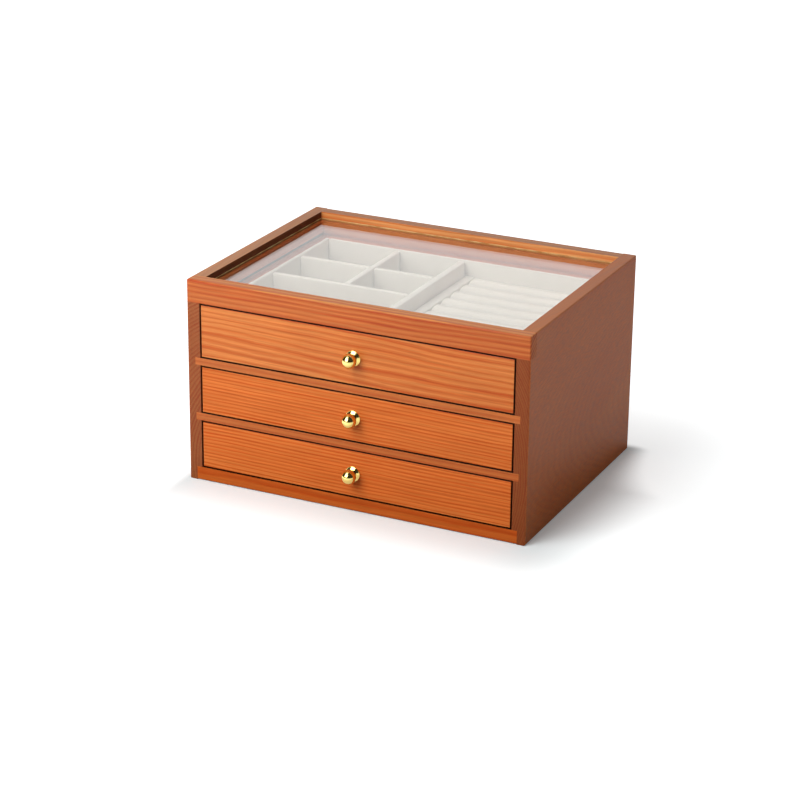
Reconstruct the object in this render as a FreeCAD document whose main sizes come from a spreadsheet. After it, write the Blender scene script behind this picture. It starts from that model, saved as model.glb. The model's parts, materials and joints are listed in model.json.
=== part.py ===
"""Wooden jewellery box with a fixed glass top and three drawers, the upper one fitted with a flannel tray.

Millimetres. X runs along the front, Y from the front to the back, Z up. The origin is the middle of the
underside. Every length is a formula of the sizes in the sheet below.
"""
import FreeCAD, Part
import os
import re

doc = FreeCAD.newDocument("JewelleryBox")

# Driving dimensions: name, millimetres, meaning
SIZES = [
    ("caseWidth", 260, "outside width of the case"),
    ("caseDepth", 195, "outside depth of the case"),
    ("caseHeight", 150, "outside height of the case"),
    ("sideThick", 10, "side panel"),
    ("bottomThick", 10, "bottom board"),
    ("shelfThick", 5.5, "shelf between two drawers"),
    ("lowerShort", 4.5, "how much lower the lower drawer's opening is than the upper one's"),
    ("middleShort", 4.5, "how much lower the middle drawer's opening is than the upper one's"),
    ("railHeight", 16.5, "height of the rails round the glass"),
    ("railThick", 10, "thickness of the front and back rails"),
    ("housingDepth", 4, "depth of the housings cut in the sides, bottom and back rail"),
    ("backThick", 5, "back panel"),
    ("backInset", 3.5, "from the back edges to the back panel"),
    ("edgeEase", 1, "rounding of the outer edges of the case"),
    ("glassThick", 3, "glass pane"),
    ("glassDrop", 5.2, "from the top of the rails down to the glass"),
    ("glassPlay", 0.5, "gap round the edge of the glass"),
    ("cleatWidth", 4, "width of the cleats that carry the glass"),
    ("dowelDiameter", 4, "dowels in the rail joints"),
    ("dowelLength", 16, "length of a dowel"),
    ("dowelShort", 6, "length of a dowel within the thinner of its two boards"),
    ("dowelPlay", 0.1, "gap round a dowel and at its ends"),
    ("frontThick", 9, "drawer front"),
    ("frontSideGap", 1.1, "gap at each end of a drawer front"),
    ("frontTopGap", 1.1, "gap over a drawer front"),
    ("frontFloorGap", 1, "gap under a drawer front"),
    ("frontEase", 0.6, "rounding of the face edges of a drawer front"),
    ("frontRabbet", 5, "depth of the rabbets in a front that take the drawer sides"),
    ("boardThick", 6, "drawer sides and backs"),
    ("boxSideGap", 1.3, "gap between a drawer side and the case"),
    ("boxFloorGap", 0.3, "running gap under a drawer side"),
    ("boxRearGap", 2, "gap between a drawer back and the back panel"),
    ("panelThick", 3, "drawer bottom"),
    ("panelRise", 3, "from the lower edge of a drawer side up to the drawer bottom"),
    ("grooveDepth", 3, "grooves that hold the drawer bottom and back"),
    ("upperSideDrop", 2.2, "from the top of the upper front down to its drawer sides"),
    ("plainSideDrop", 4, "the same on the middle and lower drawers"),
    ("knobBall", 10.4, "diameter of the knob's ball"),
    ("knobReach", 11.6, "from the drawer front to the tip of the ball"),
    ("knobBase", 11.2, "diameter of the knob's base"),
    ("knobBaseThick", 0.8, "thickness of the rim of the knob's base"),
    ("knobBaseEase", 0.4, "rounding of the rim of the knob's base"),
    ("knobDome", 1.8, "rise of the domed base over its rim"),
    ("knobNeck", 5.6, "diameter of the knob's neck"),
    ("screwDiameter", 3, "knob screw"),
    ("screwGrip", 5, "length of the screw within the knob"),
    ("screwHead", 6.4, "diameter of the screw's head"),
    ("screwHeadThick", 2, "thickness of the screw's head"),
    ("screwHeadEase", 0.9, "rounding of the screw's head"),
    ("screwPlay", 0.15, "gap round the screw and its head"),
    ("recessDepth", 2.6, "depth of the recess for the screw's head"),
    ("crossLength", 3.6, "length of the cross in the screw's head"),
    ("crossWidth", 0.8, "width of the cross"),
    ("crossDepth", 1.1, "depth of the cross"),
    ("liningPlay", 0.3, "gap between a lining and the drawer"),
    ("trayFloorThick", 2, "floor of the tray"),
    ("trayWallThick", 3.4, "walls of the tray"),
    ("trayProud", 0.6, "height of the tray walls over the drawer sides"),
    ("dividerThick", 5, "dividers between the small compartments"),
    ("mainDividerThick", 6, "divider beside the rings"),
    ("dividerDrop", 0.8, "from the tops of the tray walls down to the dividers"),
    ("leftCellWidth", 55.5, "width of the left compartments"),
    ("rightCellWidth", 47, "width of the compartments beside the rings"),
    ("backRowDepth", 40.8, "depth of the back row of compartments"),
    ("middleRowDepth", 38, "depth of the middle row of compartments"),
    ("lapPlay", 0.1, "gap in the half lap of two dividers"),
    ("softEase", 1.2, "rounding of the flannel edges"),
    ("ringStripWidth", 8, "strip at the left ends of the ring rolls"),
    ("ringStripDrop", 1.2, "from the tops of the ring rolls down to the strip"),
    ("rollDrop", 10, "from the tops of the tray walls down to the ring rolls"),
    ("rollPitch", 16.2, "wanted distance from one ring roll to the next"),
    ("rollGap", 0.4, "gap between two ring rolls"),
    ("rollEndEase", 1.8, "rounding of the ends of a ring roll"),
    ("liningFloorThick", 2, "floor lining of the middle and lower drawers"),
    ("liningWallThick", 1.5, "wall lining of the middle and lower drawers"),
    ("liningDrop", 1.5, "from the tops of the drawer sides down to the wall lining"),
    ("overrun", 2, "how far a cutter runs past the face it cuts"),
]

sheet = doc.addObject("Spreadsheet::Sheet", "Size")
for row, (name, size, meaning) in enumerate(SIZES, start=1):
    sheet.set(f"A{row}", meaning)
    sheet.set(f"B{row}", str(size))
    sheet.setAlias(f"B{row}", name)
doc.recompute()

# An edge lies on a side of its block if it is within this share of the block's diagonal from it
SAME_PLACE_SHARE = 1e-6
QUARTER_TURN = 90
X_AXIS = FreeCAD.Vector(1, 0, 0)
Y_AXIS = FreeCAD.Vector(0, 1, 0)
TURNS = {
    "up": FreeCAD.Rotation(),
    "front": FreeCAD.Rotation(X_AXIS, QUARTER_TURN),
    "back": FreeCAD.Rotation(X_AXIS, -QUARTER_TURN),
    "right": FreeCAD.Rotation(Y_AXIS, QUARTER_TURN),
    "left": FreeCAD.Rotation(Y_AXIS, -QUARTER_TURN),
}
HANDS = {"left": -1, "right": 1}
nodes = []


# Helpers for formulas and features
def bind(thing, prop, formula):
    """Ties a property to a formula of the sheet's names."""
    thing.setExpression(prop, re.sub(r"[A-Za-z]\w*", lambda word: "Size." + word.group(), formula))


def put(thing, spot, towards="up"):
    """Turns a piece that was made along +Z towards a side, and binds its place."""
    thing.Placement = FreeCAD.Placement(FreeCAD.Vector(), TURNS[towards])
    for axis, formula in zip("xyz", spot):
        bind(thing, f"Placement.Base.{axis}", formula)
    return thing


def centred(half):
    """The stretch from minus half to plus half."""
    return f"-({half})", half


def on_hand(hand, near, far):
    """The stretch between two distances from the middle, on the left or the right."""
    if HANDS[hand] < 0:
        return f"-({far})", f"-({near})"
    return near, far


def block(name, x, y, z):
    """A rectangular block between pairs of low and high formulas."""
    box = doc.addObject("Part::Box", name)
    for prop, (low, high) in zip(("Length", "Width", "Height"), (x, y, z)):
        bind(box, prop, f"({high}) - ({low})")
    return put(box, [low for low, high in (x, y, z)])


def rod(name, diameter, length, start, towards):
    """A round bar from a starting point towards a side."""
    cylinder = doc.addObject("Part::Cylinder", name)
    bind(cylinder, "Radius", f"({diameter}) / 2")
    bind(cylinder, "Height", length)
    return put(cylinder, start, towards)


def sphere(name, radius, height):
    """A sphere on the vertical axis at a height."""
    ball = doc.addObject("Part::Sphere", name)
    bind(ball, "Radius", radius)
    return put(ball, ("0", "0", height))


def cut(name, base, tools):
    """The base with all the tools taken away."""
    result = doc.addObject("Part::Cut", name)
    result.Base = base
    result.Tool = tools[0] if len(tools) == 1 else join(name + "_cutters", tools)
    return result


def join(name, pieces):
    """One solid made of several."""
    result = doc.addObject("Part::MultiFuse", name)
    result.Shapes = pieces
    return result


def group(name, pieces):
    """Separate solids in one sub-part."""
    result = doc.addObject("Part::Compound", name)
    result.Links = pieces
    return result


def lies_on(edge, sides, box):
    """True where an edge lies on all the named sides of a bounding box."""
    middle = edge.CenterOfMass
    gaps = {
        "left": middle.x - box.XMin,
        "right": middle.x - box.XMax,
        "front": middle.y - box.YMin,
        "back": middle.y - box.YMax,
        "bottom": middle.z - box.ZMin,
        "top": middle.z - box.ZMax,
    }
    return all(abs(gaps[side]) < SAME_PLACE_SHARE * box.DiagonalLength for side in sides)


def ease(name, base, places, radius):
    """Rounds edges by a named radius: each place lists the sides that its edges lie on."""
    doc.recompute()
    shape = base.Shape
    amount = sheet.get(radius)
    fillet = doc.addObject("Part::Fillet", name)
    fillet.Base = base
    fillet.Edges = [
        (number, amount, amount)
        for number, edge in enumerate(shape.Edges, start=1)
        if any(lies_on(edge, sides, shape.BoundBox) for sides in places)
    ]
    return fillet


def node(piece):
    """Marks a finished sub-part."""
    nodes.append(piece)
    return piece


# Faces and levels of the case
INNER = "(caseWidth / 2 - sideThick)"
HOUSED = f"({INNER} + housingDepth)"
FRONT = "(-caseDepth / 2)"
BACK = "(caseDepth / 2)"
RAIL_INNER = "(caseDepth / 2 - railThick)"
RAIL_LOW = "(caseHeight - railHeight)"
GLASS_LOW = "(caseHeight - glassDrop - glassThick)"
PANEL_REAR = "(caseDepth / 2 - backInset)"
PANEL_INNER = f"({PANEL_REAR} - backThick)"
CLEAR_HEIGHT = "(caseHeight - railHeight - bottomThick - 2 * shelfThick)"
UPPER_OPENING = f"(({CLEAR_HEIGHT} + lowerShort + middleShort) / 3)"
LOWER_SHELF = f"(bottomThick + {UPPER_OPENING} - lowerShort)"
UPPER_SHELF = f"({LOWER_SHELF} + shelfThick + {UPPER_OPENING} - middleShort)"
FULL_WIDTH = centred("caseWidth / 2")
FULL_DEPTH = (FRONT, BACK)
FRONT_RAIL_Y = (FRONT, f"-{RAIL_INNER}")
BACK_RAIL_Y = (RAIL_INNER, BACK)
RAIL_Z = (RAIL_LOW, "caseHeight")
BACK_PANEL_Y = (PANEL_INNER, PANEL_REAR)
BACK_PANEL_Z = ("bottomThick - housingDepth", f"{RAIL_LOW} + housingDepth")
SHELF_Z = {
    "lower": (LOWER_SHELF, f"{LOWER_SHELF} + shelfThick"),
    "upper": (UPPER_SHELF, f"{UPPER_SHELF} + shelfThick"),
}
PAST_FRONT = f"{FRONT} - overrun"
PAST_BACK = f"{BACK} + overrun"

# Dowels: the front rail's run front to back, the back rail's run along it
FRONT_DOWEL_X = "(caseWidth / 2 - sideThick / 2)"
FRONT_DOWEL_Z = "(caseHeight - railHeight / 2)"
BACK_DOWEL_Y = "(caseDepth / 2 - railThick / 2)"
BACK_DOWEL_Z = "(caseHeight - (railHeight - housingDepth) / 2)"
BORE = "dowelDiameter + 2 * dowelPlay"


def dowel(name, hand, at_front, diameter, play):
    """One dowel, or with some play the hole for it."""
    sign = "-" if HANDS[hand] < 0 else ""
    length = f"dowelLength + 2 * {play}"
    if at_front:
        start = (f"{sign}{FRONT_DOWEL_X}", f"-{RAIL_INNER} - dowelShort - {play}", FRONT_DOWEL_Z)
        return rod(name, diameter, length, start, "back")
    inner_end = f"{sign}({INNER} + dowelShort - dowelLength - {play})"
    return rod(name, diameter, length, (inner_end, BACK_DOWEL_Y, BACK_DOWEL_Z), hand)


def dowel_hole(name, hand, at_front):
    return dowel(name, hand, at_front, BORE, "dowelPlay")


def side_panel(hand):
    """A side panel, notched for the front rail and housed for the bottom, shelves and back."""
    name = f"{hand}_side_panel"
    blank = block(name + "_blank", on_hand(hand, INNER, "caseWidth / 2"), FULL_DEPTH, ("0", "caseHeight"))
    outer_edges = [[hand, side] for side in ("front", "back", "top", "bottom")]
    eased = ease(name + "_eased", blank, outer_edges, "edgeEase")
    housing = on_hand(hand, f"{INNER} - overrun", HOUSED)
    shelf_y = (PAST_FRONT, PANEL_INNER)
    notch_x = on_hand(hand, f"{INNER} - overrun", "caseWidth / 2 + overrun")
    tools = [
        block(name + "_bottom_rabbet", housing, (PAST_FRONT, PAST_BACK), ("-overrun", "bottomThick")),
        block(name + "_lower_housing", housing, shelf_y, SHELF_Z["lower"]),
        block(name + "_upper_housing", housing, shelf_y, SHELF_Z["upper"]),
        block(name + "_back_groove", housing, BACK_PANEL_Y, BACK_PANEL_Z),
        block(name + "_notch", notch_x, (PAST_FRONT, f"-{RAIL_INNER}"), (RAIL_LOW, "caseHeight + overrun")),
        dowel_hole(name + "_front_hole", hand, True),
        dowel_hole(name + "_back_hole", hand, False),
    ]
    return node(cut(name, eased, tools))


def bottom_board():
    name = "bottom_board"
    blank = block(name + "_blank", centred(HOUSED), FULL_DEPTH, ("0", "bottomThick"))
    eased = ease(name + "_eased", blank, [["front", "bottom"], ["back", "bottom"]], "edgeEase")
    groove_x = centred(f"{HOUSED} + overrun")
    groove = block(name + "_groove", groove_x, BACK_PANEL_Y, (BACK_PANEL_Z[0], "bottomThick + overrun"))
    return node(cut(name, eased, [groove]))


def front_top_rail():
    """The rail over the drawers, which laps over both side panels."""
    name = "front_top_rail"
    blank = block(name + "_blank", FULL_WIDTH, FRONT_RAIL_Y, RAIL_Z)
    outer_edges = [["front", "top"]] + [[hand, side] for hand in HANDS for side in ("front", "top")]
    eased = ease(name + "_eased", blank, outer_edges, "edgeEase")
    holes = [dowel_hole(f"{name}_{hand}_hole", hand, True) for hand in HANDS]
    return node(cut(name, eased, holes))


def back_top_rail():
    """The rail between the side panels at the back, grooved for the back panel."""
    name = "back_top_rail"
    blank = block(name + "_blank", centred(INNER), BACK_RAIL_Y, RAIL_Z)
    eased = ease(name + "_eased", blank, [["back", "top"]], "edgeEase")
    groove_z = (f"{RAIL_LOW} - overrun", BACK_PANEL_Z[1])
    tools = [block(name + "_groove", centred(f"{INNER} + overrun"), BACK_PANEL_Y, groove_z)]
    tools += [dowel_hole(f"{name}_{hand}_hole", hand, False) for hand in HANDS]
    return node(cut(name, eased, tools))


def glass_and_cleats():
    """The pane, and the cleats under its four edges."""
    cleat_z = (RAIL_LOW, GLASS_LOW)
    for hand in HANDS:
        cleat_x = on_hand(hand, f"{INNER} - cleatWidth", INNER)
        node(block(f"{hand}_glass_cleat", cleat_x, (f"-{RAIL_INNER}", RAIL_INNER), cleat_z))
    short_x = centred(f"{INNER} - cleatWidth")
    node(block("front_glass_cleat", short_x, (f"-{RAIL_INNER}", f"-{RAIL_INNER} + cleatWidth"), cleat_z))
    node(block("back_glass_cleat", short_x, (f"{RAIL_INNER} - cleatWidth", RAIL_INNER), cleat_z))
    pane_z = (GLASS_LOW, "caseHeight - glassDrop")
    node(block("glass_pane", centred(f"{INNER} - glassPlay"), centred(f"{RAIL_INNER} - glassPlay"), pane_z))


def case():
    for hand in HANDS:
        side_panel(hand)
    bottom_board()
    for level, shelf_z in SHELF_Z.items():
        node(block(f"{level}_shelf", centred(HOUSED), (FRONT, PANEL_INNER), shelf_z))
    node(block("back_panel", centred(HOUSED), BACK_PANEL_Y, BACK_PANEL_Z))
    front_top_rail()
    back_top_rail()
    glass_and_cleats()
    dowels = [
        dowel(f"{hand}_{'front' if at_front else 'back'}_dowel", hand, at_front, "dowelDiameter", "0")
        for hand in HANDS
        for at_front in (True, False)
    ]
    node(group("rail_dowels", dowels))


# Faces and levels of the drawers
BOX_OUTER = f"({INNER} - boxSideGap)"
BOX_INNER = f"({BOX_OUTER} - boardThick)"
BOX_GROOVED = f"({BOX_INNER} + grooveDepth)"
FRONT_END = f"({INNER} - frontSideGap)"
FRONT_REAR = f"({FRONT} + frontThick)"
BOX_START = f"({FRONT_REAR} - frontRabbet)"
BOX_REAR = f"({PANEL_INNER} - boxRearGap)"
BOX_BACK_INNER = f"({BOX_REAR} - boardThick)"
RECESS_FLOOR = f"({FRONT_REAR} - recessDepth)"
SCREW_BORE = "screwDiameter + 2 * screwPlay"
DRAWER_FLOOR = {
    "lower": "bottomThick",
    "middle": f"({LOWER_SHELF} + shelfThick)",
    "upper": f"({UPPER_SHELF} + shelfThick)",
}
OPENING_TOP = {"lower": LOWER_SHELF, "middle": UPPER_SHELF, "upper": RAIL_LOW}
SIDE_DROP = {"lower": "plainSideDrop", "middle": "plainSideDrop", "upper": "upperSideDrop"}


def front_low(level):
    return f"({DRAWER_FLOOR[level]} + frontFloorGap)"


def front_top(level):
    return f"({OPENING_TOP[level]} - frontTopGap)"


def knob_height(level):
    return f"(({front_low(level)} + {front_top(level)}) / 2)"


def side_low(level):
    return f"({DRAWER_FLOOR[level]} + boxFloorGap)"


def side_top(level):
    return f"({front_top(level)} - {SIDE_DROP[level]})"


def panel_low(level):
    return f"({side_low(level)} + panelRise)"


def panel_top(level):
    return f"({panel_low(level)} + panelThick)"


def drawer_front(level):
    """A drawer front with rabbets for the sides, a groove for the bottom and a recessed screw hole."""
    name = f"{level}_drawer_front"
    front_z = (front_low(level), front_top(level))
    blank = block(name + "_blank", centred(FRONT_END), (FRONT, FRONT_REAR), front_z)
    face_edges = [["front", side] for side in ("left", "right", "top", "bottom")]
    eased = ease(name + "_eased", blank, face_edges, "frontEase")
    past_rear = f"{FRONT_REAR} + overrun"
    rabbet_z = (f"{front_low(level)} - overrun", side_top(level))
    tools = []
    for hand in HANDS:
        rabbet_x = on_hand(hand, BOX_INNER, f"{FRONT_END} + overrun")
        tools.append(block(f"{name}_{hand}_rabbet", rabbet_x, (BOX_START, past_rear), rabbet_z))
    groove_y = (f"{FRONT_REAR} - grooveDepth", past_rear)
    groove_z = (panel_low(level), panel_top(level))
    tools.append(block(name + "_groove", centred(BOX_INNER), groove_y, groove_z))
    start = ("0", past_rear, knob_height(level))
    tools.append(rod(name + "_hole", SCREW_BORE, "frontThick + 2 * overrun", start, "front"))
    tools.append(rod(name + "_recess", "screwHead + 2 * screwPlay", "recessDepth + overrun", start, "front"))
    return node(cut(name, eased, tools))


def drawer_side(level, hand):
    """A drawer side, grooved for the bottom and rabbeted for the back."""
    name = f"{level}_drawer_{hand}_side"
    run = (BOX_START, BOX_REAR)
    side_z = (side_low(level), side_top(level))
    blank = block(name + "_blank", on_hand(hand, BOX_INNER, BOX_OUTER), run, side_z)
    groove_x = on_hand(hand, f"{BOX_INNER} - overrun", BOX_GROOVED)
    groove_y = (f"{BOX_START} - overrun", f"{BOX_REAR} + overrun")
    rabbet_y = (BOX_BACK_INNER, f"{BOX_REAR} + overrun")
    tools = [
        block(name + "_groove", groove_x, groove_y, (panel_low(level), panel_top(level))),
        block(name + "_rabbet", groove_x, rabbet_y, (panel_top(level), f"{side_top(level)} + overrun")),
    ]
    return node(cut(name, blank, tools))


def knob(level):
    """A ball on a short neck over a low domed base, bored for its screw."""
    name = f"{level}_knob"
    origin = ("0", "0", "0")
    disc = rod(name + "_disc", "knobBase", "knobBaseThick", origin, "up")
    rim = ease(name + "_rim", disc, [["top"]], "knobBaseEase")
    dome_half = "(knobBase / 2 - knobBaseEase)"
    dome_radius = f"(({dome_half} * {dome_half} + knobDome * knobDome) / (2 * knobDome))"
    dome_top = "(knobBaseThick + knobDome)"
    round_cap = sphere(name + "_round_cap", dome_radius, f"{dome_top} - {dome_radius}")
    dome = doc.addObject("Part::Common", name + "_dome")
    dome.Base = rod(name + "_dome_blank", f"2 * {dome_half}", dome_top, origin, "up")
    dome.Tool = round_cap
    ball_height = "(knobReach - knobBall / 2)"
    neck = rod(name + "_neck", "knobNeck", ball_height, origin, "up")
    ball = sphere(name + "_ball", "knobBall / 2", ball_height)
    whole = join(name + "_whole", [rim, dome, neck, ball])
    bore_length = "screwGrip + screwPlay + overrun"
    bore = rod(name + "_bore", SCREW_BORE, bore_length, ("0", "0", "-overrun"), "up")
    return node(put(cut(name, whole, [bore]), ("0", FRONT, knob_height(level)), "front"))


def knob_screw(level):
    """A round-headed screw with a cross, from inside the drawer into the knob."""
    name = f"{level}_knob_screw"
    seat = ("0", "0", "0")
    shank = rod(name + "_shank", "screwDiameter", "frontThick - recessDepth + screwGrip", seat, "up")
    disc = rod(name + "_disc", "screwHead", "screwHeadThick", ("0", "0", "-screwHeadThick"), "up")
    head = ease(name + "_head", disc, [["bottom"]], "screwHeadEase")
    cross_z = ("-screwHeadThick - overrun", "crossDepth - screwHeadThick")
    long_way = centred("crossLength / 2")
    short_way = centred("crossWidth / 2")
    cross = [
        block(name + "_cross_level", long_way, short_way, cross_z),
        block(name + "_cross_upright", short_way, long_way, cross_z),
    ]
    slotted = cut(name, join(name + "_whole", [shank, head]), cross)
    return node(put(slotted, ("0", RECESS_FLOOR, knob_height(level)), "front"))


def drawer(level):
    """The wooden box of a drawer with its knob and screw."""
    drawer_front(level)
    for hand in HANDS:
        drawer_side(level, hand)
    width = centred(BOX_GROOVED)
    back_z = (panel_top(level), side_top(level))
    bottom_y = (f"{FRONT_REAR} - grooveDepth", BOX_REAR)
    node(block(f"{level}_drawer_back", width, (BOX_BACK_INNER, BOX_REAR), back_z))
    node(block(f"{level}_drawer_bottom", width, bottom_y, (panel_low(level), panel_top(level))))
    knob(level)
    knob_screw(level)


# Faces and levels of the upper drawer's tray
TRAY_OUTER = f"({BOX_INNER} - liningPlay)"
TRAY_INNER = f"({TRAY_OUTER} - trayWallThick)"
TRAY_FRONT = f"({FRONT_REAR} + liningPlay)"
TRAY_FRONT_INNER = f"({TRAY_FRONT} + trayWallThick)"
TRAY_BACK = f"({BOX_BACK_INNER} - liningPlay)"
TRAY_BACK_INNER = f"({TRAY_BACK} - trayWallThick)"
TRAY_LOW = panel_top("upper")
TRAY_FLOOR = f"({TRAY_LOW} + trayFloorThick)"
TRAY_RIM = f"({side_top('upper')} + trayProud)"
DIVIDER_TOP = f"({TRAY_RIM} - dividerDrop)"
LAP_LEVEL = f"(({TRAY_FLOOR} + {DIVIDER_TOP}) / 2)"
COLUMN_LEFT = f"(leftCellWidth - {TRAY_INNER})"
COLUMN_RIGHT = f"({COLUMN_LEFT} + dividerThick)"
MAIN_LEFT = f"({COLUMN_RIGHT} + rightCellWidth)"
MAIN_RIGHT = f"({MAIN_LEFT} + mainDividerThick)"
BACK_ROW_REAR = f"({TRAY_BACK_INNER} - backRowDepth)"
BACK_ROW_FRONT = f"({BACK_ROW_REAR} - dividerThick)"
FRONT_ROW_REAR = f"({BACK_ROW_FRONT} - middleRowDepth)"
FRONT_ROW_FRONT = f"({FRONT_ROW_REAR} - dividerThick)"
ROLL_TOP = f"({TRAY_RIM} - rollDrop)"
ROLL_LEFT = f"({MAIN_RIGHT} + ringStripWidth + rollGap)"
ROLL_RIGHT = f"({TRAY_INNER} - rollGap)"


def tray_shell():
    """The tray's floor, and its four walls with rounded tops."""
    wall_z = (TRAY_FLOOR, TRAY_RIM)
    length = (TRAY_FRONT, TRAY_BACK)
    node(block("tray_floor", centred(TRAY_OUTER), length, (TRAY_LOW, TRAY_FLOOR)))
    for hand in HANDS:
        name = f"tray_{hand}_wall"
        wall = block(name + "_board", on_hand(hand, TRAY_INNER, TRAY_OUTER), length, wall_z)
        node(ease(name, wall, [["top", side] for side in HANDS], "softEase"))
    for side, wall_y in (("front", (TRAY_FRONT, TRAY_FRONT_INNER)), ("back", (TRAY_BACK_INNER, TRAY_BACK))):
        name = f"tray_{side}_wall"
        wall = block(name + "_board", centred(TRAY_INNER), wall_y, wall_z)
        node(ease(name, wall, [["top", edge] for edge in ("front", "back")], "softEase"))


def tray_dividers():
    """The main divider, two dividers across and one along, half lapped where they cross."""
    divider_z = (TRAY_FLOOR, DIVIDER_TOP)
    row_x = (f"-{TRAY_INNER}", MAIN_LEFT)
    across = [["top", side] for side in ("front", "back")]
    along = [["top", side] for side in HANDS]
    main_y = (TRAY_FRONT_INNER, TRAY_BACK_INNER)
    main = block("main_divider_board", (MAIN_LEFT, MAIN_RIGHT), main_y, divider_z)
    node(ease("main_divider", main, along, "softEase"))
    front_row = block("front_row_divider_board", row_x, (FRONT_ROW_FRONT, FRONT_ROW_REAR), divider_z)
    node(ease("front_row_divider", front_row, across, "softEase"))
    back_row = block("back_row_divider_board", row_x, (BACK_ROW_FRONT, BACK_ROW_REAR), divider_z)
    back_row_eased = ease("back_row_divider_eased", back_row, across, "softEase")
    upper_slot = block(
        "back_row_divider_slot",
        (f"{COLUMN_LEFT} - lapPlay", f"{COLUMN_RIGHT} + lapPlay"),
        (f"{BACK_ROW_FRONT} - overrun", f"{BACK_ROW_REAR} + overrun"),
        (LAP_LEVEL, f"{DIVIDER_TOP} + overrun"),
    )
    node(cut("back_row_divider", back_row_eased, [upper_slot]))
    column_y = (FRONT_ROW_REAR, TRAY_BACK_INNER)
    column = block("column_divider_board", (COLUMN_LEFT, COLUMN_RIGHT), column_y, divider_z)
    column_eased = ease("column_divider_eased", column, along, "softEase")
    lower_slot = block(
        "column_divider_slot",
        (f"{COLUMN_LEFT} - overrun", f"{COLUMN_RIGHT} + overrun"),
        (f"{BACK_ROW_FRONT} - lapPlay", f"{BACK_ROW_REAR} + lapPlay"),
        (f"{TRAY_FLOOR} - overrun", f"{LAP_LEVEL} + lapPlay"),
    )
    node(cut("column_divider", column_eased, [lower_slot]))
    return main


def ring_roll(number, pitch):
    """One foam roll: a straight foot under a round crown, with rounded ends."""
    name = f"ring_roll_{number}"
    width = f"({pitch} - rollGap)"
    middle = f"({TRAY_FRONT_INNER} + {pitch} * {number} - {pitch} / 2)"
    crown_level = f"({ROLL_TOP} - {width} / 2)"
    run = (ROLL_LEFT, ROLL_RIGHT)
    low, high = f"{middle} - {width} / 2", f"{middle} + {width} / 2"
    foot = block(name + "_foot", run, (low, high), (TRAY_FLOOR, crown_level))
    length = f"{ROLL_RIGHT} - {ROLL_LEFT}"
    bar = rod(name + "_bar", width, length, (ROLL_LEFT, middle, crown_level), "right")
    lower_half = block(
        name + "_lower_half",
        (f"{ROLL_LEFT} - overrun", f"{ROLL_RIGHT} + overrun"),
        (f"{low} - overrun", f"{high} + overrun"),
        (f"{crown_level} - {width}", crown_level),
    )
    crown = cut(name + "_crown", bar, [lower_half])
    whole = join(name + "_whole", [foot, crown])
    whole.Refine = True
    return ease(name, whole, [["left"], ["right"]], "rollEndEase")


def ring_section(tray_length):
    """The strip and the row of rolls that hold rings."""
    strip_x = (MAIN_RIGHT, f"{MAIN_RIGHT} + ringStripWidth")
    strip_z = (TRAY_FLOOR, f"{ROLL_TOP} - ringStripDrop")
    strip = block("ring_strip_board", strip_x, (TRAY_FRONT_INNER, TRAY_BACK_INNER), strip_z)
    node(ease("ring_strip", strip, [["top", "right"]], "softEase"))
    count = max(1, round(tray_length / sheet.get("rollPitch")))
    pitch = f"(({TRAY_BACK_INNER} - {TRAY_FRONT_INNER}) / {count})"
    node(group("ring_rolls", [ring_roll(number, pitch) for number in range(1, count + 1)]))


def drawer_lining(level):
    """A flannel floor and flannel walls inside a plain drawer."""
    wall_outer = f"({BOX_INNER} - liningPlay)"
    wall_inner = f"({wall_outer} - liningWallThick)"
    front, front_inner = TRAY_FRONT, f"{TRAY_FRONT} + liningWallThick"
    back, back_inner = TRAY_BACK, f"{TRAY_BACK} - liningWallThick"
    wall_z = (panel_top(level), f"{side_top(level)} - liningDrop")
    floor_z = (panel_top(level), f"{panel_top(level)} + liningFloorThick")
    name = f"{level}_drawer_lining"
    node(block(name + "_floor", centred(wall_inner), (front_inner, back_inner), floor_z))
    walls = [
        block(f"{name}_{hand}", on_hand(hand, wall_inner, wall_outer), (front, back), wall_z)
        for hand in HANDS
    ]
    walls.append(block(name + "_front", centred(wall_inner), (front, front_inner), wall_z))
    walls.append(block(name + "_back", centred(wall_inner), (back_inner, back), wall_z))
    node(group(name + "_walls", walls))


def check():
    """Stops if any feature failed or any sub-part is not sound."""
    for thing in doc.Objects:
        if "Invalid" in thing.State or "Error" in thing.State:
            raise RuntimeError(f"{thing.Label} failed: {thing.State}")
    for piece in nodes:
        shape = piece.Shape
        if shape.isNull() or not shape.isValid() or not shape.Solids:
            raise RuntimeError(f"{piece.Label} is not a sound solid")


case()
for drawer_level in DRAWER_FLOOR:
    drawer(drawer_level)
tray_shell()
main_divider_board = tray_dividers()
doc.recompute()
ring_section(main_divider_board.Width.Value)
for plain_level in ("lower", "middle"):
    drawer_lining(plain_level)
doc.recompute()
check()

os.makedirs("parts", exist_ok=True)
for piece in nodes:
    piece.Shape.exportStep(f"parts/{piece.Label}.step")
    box = piece.Shape.BoundBox
    spans = (("X", box.XMin, box.XMax), ("Y", box.YMin, box.YMax), ("Z", box.ZMin, box.ZMax))
    reach = ", ".join(f"{axis} {low:.1f} {high:.1f}" for axis, low, high in spans)
    print(f"{piece.Label}: {len(piece.Shape.Solids)} solid(s), {piece.Shape.Volume:.0f} mm3, {reach}")
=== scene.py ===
"""Looks of a stained wooden jewellery box: wood grain, brass, glass and flannel, in a plain studio.

Metres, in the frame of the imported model: X along the front, Y from the front to the back, Z up.
"""
import json
import math
import bmesh
import bpy
from mathutils import Euler, Matrix, Vector, noise


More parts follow.
